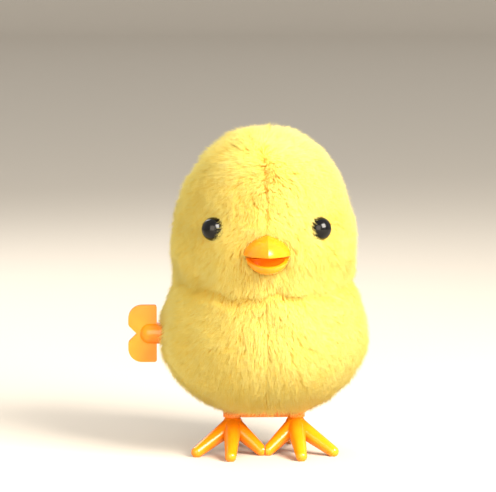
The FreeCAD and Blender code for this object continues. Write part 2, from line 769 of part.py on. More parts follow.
def bored(owner, radius):
    drawing = sketch(owner, "YZ_Plane")
    circle(drawing, radius)
    return pocket(owner, drawing)


def wheel(name, label, rims, hub, bore, at):
    """A moulded wheel: toothed rims and the hub between them, on one bore."""
    owner = body(name)
    toothed(owner, *rims[0])
    if hub:
        drawing = sketch(owner, "YZ_Plane", hub[0])
        circle(drawing, "hub_radius")
        pad(owner, drawing, hub[1])
    for rim in rims[1:]:
        toothed(owner, *rim)
    bored(owner, bore)
    node(label, put(owner, **at))


def gear_train():
    """Main wheel, two compound wheels and the cam pinion; each wheel meets the pinion after it."""
    main = ("main_teeth", "main_low", "main_thick", "second_bearing + 180 / main_teeth")
    wheel("main_wheel_body", "main_wheel", [main], None, "arbor_radius + press_gap",
          {"y": "arbor_y", "z": "arbor_z"})
    pinion = ("pinion_teeth", "main_low - pinion_over", "main_thick + 2 * pinion_over",
              "second_bearing + 180")
    rim = ("second_teeth", "second_low", "second_thick", "third_bearing + 180 / second_teeth")
    hub = ("main_low + main_thick + pinion_over", "second_low - main_low - main_thick - pinion_over")
    wheel("second_body", "second_gear", [pinion, rim], hub, "axle_radius + press_gap",
          {"y": "second_y", "z": "second_z"})
    pinion = ("pinion_teeth", "second_low - pinion_over", "second_thick + 2 * pinion_over",
              "third_bearing + 180")
    rim = ("third_teeth", "third_low", "third_thick", "cam_bearing + 180 / third_teeth")
    hub = ("second_low + second_thick + pinion_over", "third_low - second_low - second_thick - pinion_over")
    wheel("third_body", "third_gear", [pinion, rim], hub, "axle_radius + press_gap",
          {"y": "third_y", "z": "third_z"})
    pinion = ("pinion_teeth", "third_low - pinion_over", "third_thick + 2 * pinion_over",
              "cam_bearing + 180")
    wheel("cam_pinion_body", "cam_pinion", [pinion], None, "cam_shaft_radius + press_gap",
          {"y": "cam_y", "z": "cam_z"})


def shafts():
    """The steel shafts: two axles, the cam shaft and the winding arbor."""
    for which in ("second", "third"):
        name = f"{which}_axle"
        made = rod(name, "axle_radius", "2 * (plate_outer + axle_over)", "X",
                   x="-plate_outer - axle_over", y=f"{which}_y", z=f"{which}_z")
        node(name, made)
    end = "cam_low + cam_thick + cam_shaft_over"
    node("cam_shaft", rod("cam_shaft", "cam_shaft_radius", f"2 * ({end})", "X",
                          x=f"-({end})", y="cam_y", z="cam_z"))
    node("winding_arbor", rod("winding_arbor", "arbor_radius", "plate_outer + axle_over - key_socket", "X",
                              x="key_socket", y="arbor_y", z="arbor_z"))


def cams():
    """Two round cams, set off their shaft, that press the levers down together."""
    for side, sign in SIDES.items():
        low = "cam_low" if sign > 0 else "-cam_low - cam_thick"
        owner = body(f"cam_{side}")
        drawing = sketch(owner, "YZ_Plane", low)
        circle(drawing, "cam_radius", "0", "cam_throw")
        pad(owner, drawing, "cam_thick")
        bored(owner, "cam_shaft_radius + press_gap")
        node(f"cam_{side}", put(owner, y="cam_y", z="cam_z"))


# ---------------------------------------------------------------- mainspring and ratchet
def mainspring():
    """A flat steel spring coiled on the arbor; its outer end hooks behind the top pillar."""
    inner = value("spring_inner")
    pitch = (value("spring_outer") - inner) / value("spring_turns")
    thick = value("spring_thick")
    hook = math.radians(value("pillar_top_bearing"))
    catch = value("pillar_top_reach") - value("pillar_radius") - thick
    steps = 48

    def run(extra):
        """One face of the strip, from the arbor outwards, as a smooth curve."""
        points = []
        for count in range(int(value("spring_turns")) * steps + 1):
            turn = count / steps
            radius = inner + pitch * turn + extra
            angle = hook + 2 * math.pi * turn
            points.append(Vector(0, radius * math.cos(angle), radius * math.sin(angle)))
        for share in (0.33, 0.67, 1.0):
            radius = value("spring_outer") + (catch - value("spring_outer")) * share + extra
            angle = hook + math.radians(40) * share
            points.append(Vector(0, radius * math.cos(angle), radius * math.sin(angle)))
        curve = Part.BSplineCurve()
        curve.interpolate(points)
        return curve.toShape(), points

    low_face, low_points = run(0)
    high_face, high_points = run(thick)
    ends = [Part.makeLine(low_points[n], high_points[n]) for n in (0, -1)]
    strip = Part.Face(Part.Wire(Part.__sortEdges__([low_face, high_face] + ends)))
    made = doc.addObject("Part::Feature", "mainspring")
    made.Shape = strip.extrude(Vector(value("spring_wide"), 0, 0))
    node("mainspring", put(made, x="spring_low", y="arbor_y", z="arbor_z"))


def ratchet():
    """A ratchet wheel on the arbor and the spring click on the main wheel that it drives."""
    owner = body("ratchet_wheel")
    teeth = int(value("ratchet_teeth"))
    tip = value("ratchet_radius")
    root = tip - value("ratchet_depth")
    drawing = sketch(owner, "YZ_Plane", "ratchet_low")
    corners = []
    for tooth in range(teeth):
        angle = 2 * math.pi * tooth / teeth
        for radius in (root, tip):
            corners.append(Vector(radius * math.cos(angle), radius * math.sin(angle), 0))
    free_outline(drawing, corners)
    pad(owner, drawing, "ratchet_thick")
    bored(owner, "arbor_radius + press_gap")
    node("ratchet_wheel", put(owner, y="arbor_y", z="arbor_z"))

    post = rod("click_post", "click_post_radius", "main_low - base_gap - ratchet_low", "X",
               x="ratchet_low", y="arbor_y", z="arbor_z + click_post_reach")
    arm = block("click_arm", ("ratchet_low", "ratchet_low + ratchet_thick"),
                ("arbor_y", "arbor_y + click_post_reach * 0.8"),
                ("arbor_z + click_post_reach - click_thick / 2",
                 "arbor_z + click_post_reach + click_thick / 2"))
    finger = block("click_finger", ("ratchet_low", "ratchet_low + ratchet_thick"),
                   ("arbor_y + click_post_reach * 0.8 - click_thick", "arbor_y + click_post_reach * 0.8"),
                   ("arbor_z + ratchet_depth", "arbor_z + click_post_reach"))
    tongue = block("click_tongue", ("ratchet_low", "ratchet_low + ratchet_thick"),
                   ("arbor_y + ratchet_radius + glue_gap", "arbor_y + click_post_reach * 0.8"),
                   ("arbor_z + ratchet_depth", "arbor_z + ratchet_depth + click_thick"))
    node("click_spring", join("click_spring", [post, arm, finger, tongue]))


# ---------------------------------------------------------------- levers, legs and feet
def leg_yoke():
    """Two lever arms and two legs on one bridge: the moving carrier of both feet."""
    owner = body("leg_yoke")
    inner_face = "leg_x - lever_thick / 2"
    drawing = sketch(owner, "YZ_Plane", inner_face)
    outline(drawing, [
        ("cam_y - pad_half_length", "pad_top - lever_height"),
        ("pin_y", "pad_top - lever_height"),
        ("pin_y", "pad_top"),
        ("cam_y - pad_half_length", "pad_top"),
    ])
    arm = pad(owner, drawing, "lever_thick")
    drawing = sketch(owner, "YZ_Plane", inner_face)
    circle(drawing, "lever_eye_radius", "pin_y", "pin_z")
    eye = pad(owner, drawing, "lever_thick")
    drawing = sketch(owner, "XY_Plane", "leg_foot")
    circle(drawing, "leg_radius", "leg_x", "leg_y")
    leg = pad(owner, drawing, "pad_top - lever_height / 2 - leg_foot")
    drawing = sketch(owner, "XY_Plane", "bar_low")
    circle(drawing, "bar_ring_radius", "leg_x", "leg_y")
    ring = pad(owner, drawing, "bar_height")
    drawing = sketch(owner, "YZ_Plane", inner_face)
    circle(drawing, "pin_radius + bore_gap", "pin_y", "pin_z")
    hole = pocket(owner, drawing, "lever_thick")
    drawing = sketch(owner, "XY_Plane", "bar_low")
    rectangle(drawing, ("-leg_x", "leg_x"), ("leg_y - bar_half_depth", "leg_y + bar_half_depth"))
    pad(owner, drawing, "bar_height")
    both = owner.newObject("PartDesign::Mirrored", "leg_yoke_other_side")
    both.Originals = [arm, eye, leg, ring, hole]
    both.MirrorPlane = (origin_of(owner, "YZ_Plane"), [""])
    owner.Tip = both
    node("leg_yoke", owner)


def lever_pins():
    """Two stub pins, pressed into the motor plates, that the levers swing on."""
    made = [
        rod("lever_pin", "pin_radius", "pin_end - plate_face", "X",
            x="plate_face" if sign > 0 else "-pin_end", y="pin_y", z="pin_z")
        for sign in SIDES.values()
    ]
    node("lever_pins", group("lever_pins", made))


def feet():
    """Two moulded feet: a round ankle with three toes in front and one behind, flat where they stand."""
    ankle = Vector(-value("leg_x"), value("leg_y"), value("ankle_z"))
    tips = [
        (value("outer_toe_x"), value("outer_toe_y")),
        (value("middle_toe_x"), value("middle_toe_y")),
        (value("inner_toe_x"), 0.0),
        (value("hind_toe_x"), value("hind_toe_y")),
    ]
    thick, thin = value("toe_root_radius"), value("toe_tip_radius")
    whole = Part.makeSphere(value("ankle_radius"), ankle)
    for across, along in tips:
        tip = Vector(-across, along, value("toe_tip_z"))
        reach = tip - ankle
        toe = Part.makeCone(thick, thin, reach.Length, ankle, reach).fuse(Part.makeSphere(thin, tip))
        whole = whole.fuse(toe)
    far = value("far_side")
    room_corner = Vector(-far - value("toe_gap") / 2, -far, 0)
    room = Part.makeBox(far, 2 * far, value("bar_low - foot_gap"), room_corner)
    socket_foot = Vector(ankle.x, ankle.y, value("leg_foot - foot_gap"))
    socket = Part.makeCylinder(value("leg_radius + press_gap"), far, socket_foot)
    right = whole.common(room).cut(socket).removeSplitter()
    for side, shape in (("left", right.mirror(Vector(), Vector(1, 0, 0))), ("right", right)):
        made = doc.addObject("Part::Feature", f"foot_{side}")
        made.Shape = shape
        made.Placement = Placement()
        node(f"foot_{side}", made)


# ---------------------------------------------------------------- winding key
def edges_where(shape, test):
    """The names of the straight edges along Y whose place passes a test."""
    found = []
    for count, edge in enumerate(shape.Edges, start=1):
        ends = [one.Point for one in edge.Vertexes]
        if len(ends) == 2 and abs(ends[0].x - ends[1].x) + abs(ends[0].z - ends[1].z) < 1e-6:
            if test(ends[0].x, abs(ends[0].z)):
                found.append(f"Edge{count}")
    return found


def rounded(owner, edges, radius):
    last = owner.Tip
    made = owner.newObject("PartDesign::Fillet", f"{owner.Name}_round")
    made.Base = (last, edges)
    bind(made, Radius=radius)
    doc.recompute()


def winding_key():
    """A butterfly key: a domed shaft with a flat bow of two lobes."""
    owner = body("winding_key")
    drawing = sketch(owner, "YZ_Plane", "key_end")
    circle(drawing, "key_radius")
    pad(owner, drawing, "key_root - key_end")
    doc.recompute()
    tip = [f"Edge{n}" for n, edge in enumerate(owner.Shape.Edges, start=1)
           if edge.Curve.TypeId == "Part::GeomCircle" and abs(edge.CenterOfMass.x - value("key_end")) < 0.01]
    rounded(owner, tip, "key_dome")
    drawing = sketch(owner, "XZ_Plane", "-bow_thick / 2")
    outline(drawing, [
        ("bow_inner", "-bow_half_height"),
        ("bow_inner", "bow_half_height"),
        ("bow_outer", "bow_half_height"),
        ("bow_outer", "bow_waist_half"),
        ("bow_waist", "0"),
        ("bow_outer", "-bow_waist_half"),
        ("bow_outer", "-bow_half_height"),
    ])
    pad(owner, drawing, "bow_thick")
    doc.recompute()
    lobe_end = value("bow_half_height") - 0.01
    middle = value("bow_inner + bow_outer") / 2
    rounded(owner, edges_where(owner.Shape, lambda x, z: x < middle and z > lobe_end), "bow_outer_corner")
    rounded(owner, edges_where(owner.Shape, lambda x, z: x > middle and z > lobe_end), "bow_inner_corner")
    waist_half = value("bow_waist_half")
    rounded(owner, edges_where(owner.Shape, lambda x, z: x < middle and abs(z - waist_half) < 0.01),
            "bow_waist_corner")
    drawing = sketch(owner, "YZ_Plane", "key_socket")
    circle(drawing, "arbor_radius + press_gap")
    pocket(owner, drawing, "key_root - key_socket")
    node("winding_key", put(owner, y="arbor_y", z="arbor_z"))


# ---------------------------------------------------------------- the whole chick
def check_and_write():
    """Checks every object and every finished shape, then writes one file for each node."""
    doc.recompute()
    failed = [one.Name for one in doc.Objects if {"Invalid", "Error"} & set(one.State)]
    if failed:
        raise ValueError(f"failed objects: {failed}")
    for thing in NODES:
        if thing.Shape.isNull() or not thing.Shape.isValid() or not thing.Shape.Solids:
            raise ValueError(f"{thing.Label} has no valid solid")
    os.makedirs("parts", exist_ok=True)
    for thing in NODES:
        thing.Shape.exportStep(f"parts/{thing.Label}.step")
        print(f"{thing.Label}: {len(thing.Shape.Solids)} solid(s), {thing.Shape.Volume:.1f} mm3")


cover()
shell()
base_plate()
base_screws()
eyes()
beak()
motor_plates()
pillars_and_screws()
gear_train()
shafts()
cams()
mainspring()
ratchet()
leg_yoke()
lever_pins()
feet()
winding_key()
check_and_write()
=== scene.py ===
# %% [markdown]
# # A wind-up hopping chick
# The toy is a plastic shell with a clockwork motor in it. A plush cover is glued over the shell, and a
# winding key, a beak, two bead eyes and two feet come out through it. The motor, key, feet, eyes and beak
# are hard pieces with exact shapes, so they come ready made from the frame. What is made here is the plush:
# the backing cloth and its pile, and then the finish of every surface.

# %% Load the frame
import math

import bpy
import numpy as np
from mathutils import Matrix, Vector
from mathutils.bvhtree import BVHTree
from mathutils.kdtree import KDTree


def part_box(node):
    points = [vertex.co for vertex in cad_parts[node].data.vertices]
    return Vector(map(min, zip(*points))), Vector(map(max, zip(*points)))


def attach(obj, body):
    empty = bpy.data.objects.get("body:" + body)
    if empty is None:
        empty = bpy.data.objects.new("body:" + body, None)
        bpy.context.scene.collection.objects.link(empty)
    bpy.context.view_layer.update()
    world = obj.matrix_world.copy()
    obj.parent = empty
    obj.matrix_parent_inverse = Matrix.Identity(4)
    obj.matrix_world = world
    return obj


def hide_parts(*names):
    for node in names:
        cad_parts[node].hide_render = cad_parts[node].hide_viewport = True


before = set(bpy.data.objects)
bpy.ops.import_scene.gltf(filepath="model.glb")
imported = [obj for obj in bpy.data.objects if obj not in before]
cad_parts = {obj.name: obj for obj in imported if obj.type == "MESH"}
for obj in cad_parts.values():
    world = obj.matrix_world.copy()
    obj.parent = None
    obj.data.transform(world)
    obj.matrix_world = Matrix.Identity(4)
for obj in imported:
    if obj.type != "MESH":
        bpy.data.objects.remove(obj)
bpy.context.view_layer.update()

MM = 0.001                 # a millimetre, in Blender's metres


def low(node):
    """The lowest corner of a node, in millimetres."""
    return np.array(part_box(node)[0]) / MM


def high(node):
    """The highest corner of a node, in millimetres."""
    return np.array(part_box(node)[1]) / MM


def middle(node):
    """The middle of a node's box, in millimetres."""
    return (low(node) + high(node)) / 2


# %% [markdown]
# ## Camera
# The toy is looked at from the front and slightly from above, as a hand holds it up. A long lens from nearly
# a metre gives the same flat look as a close-up made with a telephoto, so the round body isn't swollen
# by perspective. The camera is set up first because every later choice is judged through it.

# %% Camera
VIEW_RISE = math.radians(6.3)        # how far above the chick's middle the camera looks down from
VIEW_TURN = math.radians(-2.0)       # and how far round to the side
VIEW_DISTANCE = 900.0                # millimetres
FRAME_WIDTH = 139.6                  # millimetres across the picture, at the chick
AIM = Vector((-4.6, 4.0, 59.0))      # the point at the middle of the picture

camera = bpy.data.cameras.new("camera")
camera.sensor_width = 36.0           # millimetres, a full-frame camera
camera.lens = camera.sensor_width * VIEW_DISTANCE / FRAME_WIDTH
camera.clip_start = 0.01
viewer = bpy.data.objects.new("camera", camera)
bpy.context.scene.collection.objects.link(viewer)
back = Vector((math.sin(VIEW_TURN) * math.cos(VIEW_RISE), -math.cos(VIEW_TURN) * math.cos(VIEW_RISE),
               math.sin(VIEW_RISE)))
viewer.location = (AIM + back * VIEW_DISTANCE) * MM
viewer.rotation_euler = back.to_track_quat("Z", "Y").to_euler()
bpy.context.scene.camera = viewer
print(f"lens {camera.lens:.0f} mm at {VIEW_DISTANCE:.0f} mm")

# %% [markdown]
# ## Floor and light
# A pale seamless sweep stands in for a table. A large soft lamp up and to the right is the main light, as a
# window would be. A weaker one in front, a little to the left, fills the shade. A third behind catches the
# loose tips of the pile. The sky is an even white, so that nothing goes black.


# %% Floor and lamps
def linear(hex_colour):
    """An sRGB hex colour, such as F7D45A, as the linear values that the shaders use."""
    parts = [int(hex_colour[i:i + 2], 16) / 255 for i in (0, 2, 4)]
    return tuple(p / 12.92 if p <= 0.04045 else ((p + 0.055) / 1.055) ** 2.4 for p in parts) + (1.0,)


def mesh_object(name, verts, faces):
    """An object in the scene, made from points in metres and faces."""
    mesh = bpy.data.meshes.new(name)
    mesh.from_pydata([tuple(v) for v in verts], [], [tuple(f) for f in faces])
    made = bpy.data.objects.new(name, mesh)
    bpy.context.scene.collection.objects.link(made)
    return made


def sweep_floor(name, half, depth, rise, bend):
    """A floor that curves up, with the radius bend, into a wall behind the toy; all in metres."""
    profile = [(-half, 0.0), (depth - bend, 0.0)]
    profile += [(depth - bend + bend * math.sin(a), bend - bend * math.cos(a))
                for a in np.linspace(0, math.pi / 2, 14)[1:]]
    profile.append((depth, rise))
    verts = [(x, y, z) for y, z in profile for x in (-half, half)]
    faces = [(2 * i, 2 * i + 1, 2 * i + 3, 2 * i + 2) for i in range(len(profile) - 1)]
    made = mesh_object(name, verts, faces)
    made.data.shade_smooth()
    return made


floor = sweep_floor("floor", half=4.0, depth=3.0, rise=1.6, bend=0.35)
paper = bpy.data.materials.new("pale_paper")
paper.use_nodes = True
paper_shader = paper.node_tree.nodes["Principled BSDF"]
paper_shader.inputs["Base Color"].default_value = linear("BDB5AA")
paper_shader.inputs["Roughness"].default_value = 0.9
floor.data.materials.append(paper)


LIT_POINT = Vector((0, 9, 50))       # the middle of the chick, in millimetres


def lamp(name, power, size, place, colour):
    """A square soft lamp that looks at the middle of the chick; place is in millimetres, size in metres."""
    light = bpy.data.lights.new(name, "AREA")
    light.energy = power
    light.size = size
    light.color = linear(colour)[:3]
    made = bpy.data.objects.new(name, light)
    bpy.context.scene.collection.objects.link(made)
    made.location = Vector(place) * MM
    made.rotation_euler = (made.location - LIT_POINT * MM).to_track_quat("Z", "Y").to_euler()


lamp("window_light", 13.5, 0.35, (360, -360, 380), "FFF8EC")
lamp("fill_light", 4.2, 0.5, (-140, -600, 240), "FFF1DC")
lamp("rim_light", 2.0, 0.3, (-160, 420, 420), "FFFFFF")
world = bpy.data.worlds.new("sky")
world.use_nodes = True
sky = world.node_tree.nodes["Background"]
sky.inputs["Color"].default_value = linear("FFFDF8")
sky.inputs["Strength"].default_value = 0.85
bpy.context.scene.world = world
bpy.context.scene.view_settings.view_transform = "Standard"
bpy.context.scene.cycles.diffuse_bounces = 8      # pile scatters light many times

# %% [markdown]
# ## The form under the pile
# The real cover is two cut panels of plush, sewn together down the middle and pulled over the shell, so its
# shape is the shell's shape. It could be sculpted, or lofted again here, but then it could drift from the
# frame. Instead, rays are cast from far outside towards a line up the middle of the chick, and where each
# one meets the cover in the frame is a point of the form. The pockets for the eyes, beak and key are bridged
# over, because cloth spans them.

# %% Measure the cover with rays
ROWS, COLUMNS = 170, 300   # of rays, from the hem to the crown and all the way round
BODY_SHARE = 0.28          # the share of the rows that fan out from the middle of the body
HEAD_SHARE = 0.54          # and the share below the rows that fan out from the middle of the head
STEEPEST = math.radians(89.5)        # just short of straight up, where all the columns would meet
FAR = 200.0                # millimetres out, where the rays start
axis_y = middle("base_plate")[1]
crown = high("cover_left")[2]
hem = low("cover_left")[2]
body_centre = hem + 0.26 * (crown - hem)
head_centre = hem + 0.62 * (crown - hem)
hem_radius = (high("base_plate") - low("base_plate"))[0] / 2 + 0.8


def tree_of(*nodes):
    """A search tree of the faces of some nodes, in millimetres."""
    verts, faces = [], []
    for node in nodes:
        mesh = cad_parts[node].data
        start = len(verts)
        verts += [tuple(np.array(v.co) / MM) for v in mesh.vertices]
        faces += [[start + i for i in p.vertices] for p in mesh.polygons]
    return BVHTree.FromPolygons(verts, faces)


cover = tree_of("cover_left", "cover_right")
shell = tree_of("shell_left", "shell_right")


def ray_line(share):
    """Where the rays of a row aim at, and their slope: fans at both ends, parallel between."""
    lowest = -math.atan2(body_centre - hem - 0.5, hem_radius)
    if share < BODY_SHARE:
        return body_centre, lowest * (1 - share / BODY_SHARE)
    if share < HEAD_SHARE:
        up = (share - BODY_SHARE) / (HEAD_SHARE - BODY_SHARE)
        return body_centre + (head_centre - body_centre) * up, 0.0
    return head_centre, STEEPEST * (share - HEAD_SHARE) / (1 - HEAD_SHARE)


reach = np.zeros((ROWS, COLUMNS))
shell_reach = np.zeros((ROWS, COLUMNS))
starts = np.zeros((ROWS, COLUMNS, 3))
ways = np.zeros((ROWS, COLUMNS, 3))
for row in range(ROWS):
    level, slope = ray_line(row / (ROWS - 1))
    for column in range(COLUMNS):
        # half a step off the seam, so that no ray runs down the gap between the two panels
        round_angle = 2 * math.pi * (column + 0.5) / COLUMNS
        way = Vector((math.sin(round_angle) * math.cos(slope), -math.cos(round_angle) * math.cos(slope),
                      math.sin(slope)))
        start = Vector((0, axis_y, level))
        hit = cover.ray_cast(start + way * FAR, -way)
        reach[row, column] = FAR - hit[3] if hit[0] is not None else np.nan
        hit = shell.ray_cast(start + way * FAR, -way)
        shell_reach[row, column] = FAR - hit[3] if hit[0] is not None else np.nan
        starts[row, column] = start
        ways[row, column] = way
print(f"form measured: {ROWS * COLUMNS} rays, {int(np.isnan(reach).sum())} missed")


# %% [markdown]
# The readings inside a pocket are thrown away and filled from around it. Each unknown cell takes the mean of
# its four neighbours, again and again, until the patch lies as a stretched cloth would.

# %% Bridge the pockets and smooth the form
def neighbours_mean(grid):
    """The mean of the four neighbours of each cell; columns go all the way round."""
    up = np.vstack([grid[:1], grid[:-1]])
    down = np.vstack([grid[1:], grid[-1:]])
    return (up + down + np.roll(grid, 1, 1) + np.roll(grid, -1, 1)) / 4


def form_points(distance):
    """The points that lie this far out along each ray."""
    return starts + ways * distance[..., None]


BEAK_PATCH = 9.4           # how far round the beak's middle the readings are thrown away
ROUND_HOLE = 1.6           # and how far past the edge of an eye or of the key's shaft
FILL_PASSES = 1500
SMOOTH_PASSES = 4
beak_middle = np.array([0.0, low("beak_upper")[1], (low("beak_upper")[2] + high("beak_lower")[2]) / 2])
eye_middles = {}
for eye, sign in (("eye_left", 1), ("eye_right", -1)):
    edge = high(eye)[0] if sign > 0 else low(eye)[0]
    radius = (high(eye)[2] - low(eye)[2]) / 2
    eye_middles[eye] = np.array([edge - sign * radius, low(eye)[1] + radius, middle(eye)[2]])
eye_radius = (high("eye_left")[2] - low("eye_left")[2]) / 2
key_middle = middle("winding_arbor")
key_radius = 3.0


def passes(centre, within):
    """Whether each ray passes this near a point, on its way out."""
    gap = centre - starts
    ahead = (gap * ways).sum(2)
    return (np.linalg.norm(gap - ways * ahead[..., None], axis=2) < within) & (ahead > 0)


key_in_cover = np.array([low("cover_right")[0], *key_middle[1:]])
unknown = passes(beak_middle, BEAK_PATCH) | passes(key_in_cover, key_radius + ROUND_HOLE)
for centre in eye_middles.values():
    unknown |= passes(centre, eye_radius + ROUND_HOLE)
for grid in (reach, shell_reach):
    patch = unknown | np.isnan(grid)
    grid[patch] = np.median(grid[~patch])
    for _ in range(FILL_PASSES):
        grid[patch] = neighbours_mean(grid)[patch]
for _ in range(SMOOTH_PASSES):
    reach = 0.5 * reach + 0.5 * neighbours_mean(reach)
    shell_reach = 0.5 * shell_reach + 0.5 * neighbours_mean(shell_reach)
gap = reach - shell_reach
print(f"the cover stands {np.percentile(gap, 2):.1f} to {np.percentile(gap, 98):.1f} mm off the shell")
print(f"bridged {int(unknown.sum())} cells; widest half {form_points(reach)[..., 0].max():.1f} mm")

# %% [markdown]
# ## The backing cloth
# The cloth lies one pile depth inside the measured form. Over that, three things from the sewing are pressed
# in: a groove along the middle seam, a crease where the head meets the body, and a shallow dish round each
# eye, whose washer pulls the cloth back.

# %% Shape the cloth
PILE = 3.7                 # how deep the pile stands off the cloth
SEAM_DEPTH = 0.35
CREASE_LEVEL = 47.0        # millimetres above the ground
CREASE_DEPTH = 2.6
FOLD_DEPTH = 0.9           # of the second, shorter fold over the key
DISH_DEPTH = 0.5           # round each eye
SHELL_GAP = 0.5            # the least distance from the shell to the cloth


def normals_of(points):
    """The outward normal at each point of the form's grid."""
    around = np.roll(points, -1, 1) - np.roll(points, 1, 1)
    along = np.vstack([points[1:], points[-1:]]) - np.vstack([points[:1], points[:-1]])
    normal = np.cross(around, along)
    return normal / np.maximum(np.linalg.norm(normal, axis=2, keepdims=True), 1e-9)


def bump_of(distance, width):
    """A bell curve: 1 at no distance, and near 0 past twice the width."""
    return np.exp(-(distance / width) ** 2)


form = form_points(reach)
normal = normals_of(form)
if (normal[ROWS // 2, 0] * form[ROWS // 2, 0])[1] < 0:
    normal = -normal
cloth = form - normal * PILE


def crease_at(points):
    """How deep in the neck crease each point is, from 0 to 1; it wavers, and fades towards the back."""
    x, y, z = (points[..., i] for i in range(3))
    wobble = np.sin(0.31 * x + 0.6) * 0.9 + np.sin(0.83 * x - 0.4) * 0.45 + 0.004 * x ** 2
    return bump_of(z - CREASE_LEVEL - wobble, 1.7) * np.clip((14 - y) / 14, 0, 1)


crease = crease_at(cloth)
side_folds = crease_at(cloth - np.array([0, 0, 3.6])) * bump_of(cloth[..., 0] + 20, 8)
dish = sum(bump_of(np.linalg.norm(cloth - centre, axis=2), eye_radius + 2.4)
           for centre in eye_middles.values())
depth = (SEAM_DEPTH * bump_of(cloth[..., 0], 1.3) + CREASE_DEPTH * crease + FOLD_DEPTH * side_folds
         + DISH_DEPTH * dish)
cloth = cloth - normal * depth[..., None]
short = shell_reach + SHELL_GAP - ((cloth - starts) * ways).sum(2)
cloth = cloth + ways * np.maximum(short, 0)[..., None]
print(f"cloth {PILE} mm inside the form, pressed in up to {depth.max():.1f} mm")


def grid_faces(columns):
    """Quads over all rows and the named columns, each column joined to the next one round."""
    return [(r * COLUMNS + c, r * COLUMNS + (c + 1) % COLUMNS, (r + 1) * COLUMNS + (c + 1) % COLUMNS,
             (r + 1) * COLUMNS + c) for r in range(ROWS - 1) for c in columns]


half = COLUMNS // 2
panels = {}
for side, columns in (("left", range(0, half)), ("right", range(half, COLUMNS))):
    name = f"plush_panel_{side}"
    faces = grid_faces(columns)
    used = sorted({i for face in faces for i in face})
    renumber = {old: new for new, old in enumerate(used)}
    cloth_points = cloth.reshape(-1, 3)
    verts = [cloth_points[i] * MM for i in used]
    panels[side] = mesh_object(name, verts, [[renumber[i] for i in face] for face in faces])
    panels[side].data.shade_smooth()
print("panels:", ", ".join(f"{p.name} {len(p.data.polygons)} faces" for p in panels.values()))

# %% [markdown]
# ## The pile
# The pile is what the eye sees. A bump or displacement can't give its loose outline against the background
# or its light passing between the tufts, so it is grown as strands of mesh. Strands as fine as real fibres
# would be far too many, so each one here stands for a small lock of fibres. A strand is a long three-sided
# spike that leans the way the pile was brushed. Brushing is down the body and away from the seam, and nearby
# strands share a wander and a tuft, since real pile never lies evenly.

# %% Scatter the roots
STRANDS = 280_000
WIDE = 0.14       # the width of a strand at its root
rng = np.random.default_rng(11)


def scatter(count):
    """Roots spread evenly over the cloth: their places and their outward normals."""
    a = cloth[:-1]
    b = np.roll(cloth, -1, 1)[:-1]
    c = np.roll(cloth, -1, 1)[1:]
    d = cloth[1:]
    area = np.linalg.norm(np.cross(c - a, d - b), axis=2) / 2
    share = (area / area.sum()).ravel()
    cell = rng.choice(share.size, count, p=share)
    u, v = rng.random((2, count, 1))
    row, column = np.divmod(cell, COLUMNS)

    def mixed(grid):
        right = (column + 1) % COLUMNS
        lower = grid[row, column] * (1 - u) + grid[row, right] * u
        upper = grid[row + 1, column] * (1 - u) + grid[row + 1, right] * u
        return lower * (1 - v) + upper * v

    outward = mixed(normal)
    return mixed(cloth), outward / np.linalg.norm(outward, axis=1, keepdims=True)


root, out = scatter(STRANDS)
print(f"{len(root)} roots")


# %% [markdown]
# No strand may grow where a hard piece comes through. The roots inside the outline of each eye, of the beak
# and of the key's shaft are left out, and so are those at the very bottom where the hem is tucked in.

# %% Clear the hard pieces
def eye_reach(points):
    """How far each point is from the nearer eye's axis, and the way away from that axis."""
    best = np.full(len(points), 99.0)
    away = np.zeros((len(points), 3))
    for centre in eye_middles.values():
        gap = points - centre
        distance = np.linalg.norm(gap, axis=1)
        nearer = distance < best
        best[nearer] = distance[nearer]
        away[nearer] = (gap / np.maximum(distance, 1e-6)[:, None])[nearer]
    return best, away


beak_half = np.array([(high("beak_upper") - low("beak_upper"))[0] / 2,
                      (high("beak_upper")[2] - low("beak_lower")[2]) / 2])


def beak_reach(points):
    """How far out each point is from the beak's middle; 1 is on the beak's outline."""
    from_middle = (points - beak_middle)[:, (0, 2)] / beak_half
    return np.where(points[:, 1] < 0, np.linalg.norm(from_middle, axis=1), 9.0)


def key_reach(points):
    """How far each point is from the key's shaft, on the side where the key is."""
    gap = np.linalg.norm((points - key_middle)[:, (1, 2)], axis=1)
    return np.where(points[:, 0] < 0, gap, 99.0)


to_eye, from_eye = eye_reach(root)
to_beak = beak_reach(root)
keep = (to_eye > eye_radius + 0.1) & (to_beak > 0.86) & (key_reach(root) > key_radius + 0.9)
keep &= root[:, 2] > hem + 0.4
root, out, to_eye, from_eye, to_beak = root[keep], out[keep], to_eye[keep], from_eye[keep], to_beak[keep]
count = len(root)
print(f"{count} strands kept")

# %% [markdown]
# The lean of a strand is set by four pulls added up: down the body, away from the seam, away from the eyes
# and beak, and a slow wander. Strands that share a tuft get the same wander, so the coat breaks up into
# locks a few millimetres wide.

# %% Brush the pile
TUFT = 1.5                 # millimetres from one tuft to the next


def unit(v):
    """Each vector at a length of one."""
    return v / np.maximum(np.linalg.norm(v, axis=-1, keepdims=True), 1e-9)


def wander(points, period, seed):
    """A slow smooth random field of vectors, made of a few waves in random directions."""
    source = np.random.default_rng(seed)
    total = np.zeros_like(points)
    for _ in range(10):
        direction = unit(source.normal(size=3)) / (period * source.uniform(0.7, 1.5))
        wave = np.sin(2 * math.pi * points @ direction + source.uniform(0, 6.3))
        total += wave[:, None] * source.normal(size=3)
    return total / 3.2


def nearest(points, centres):
    """The nearest centre of each point, found through a search tree so that it stays quick."""
    tree = KDTree(len(centres))
    for index, centre in enumerate(centres):
        tree.insert(centre, index)
    tree.balance()
    return np.array([tree.find(p)[1] for p in points])


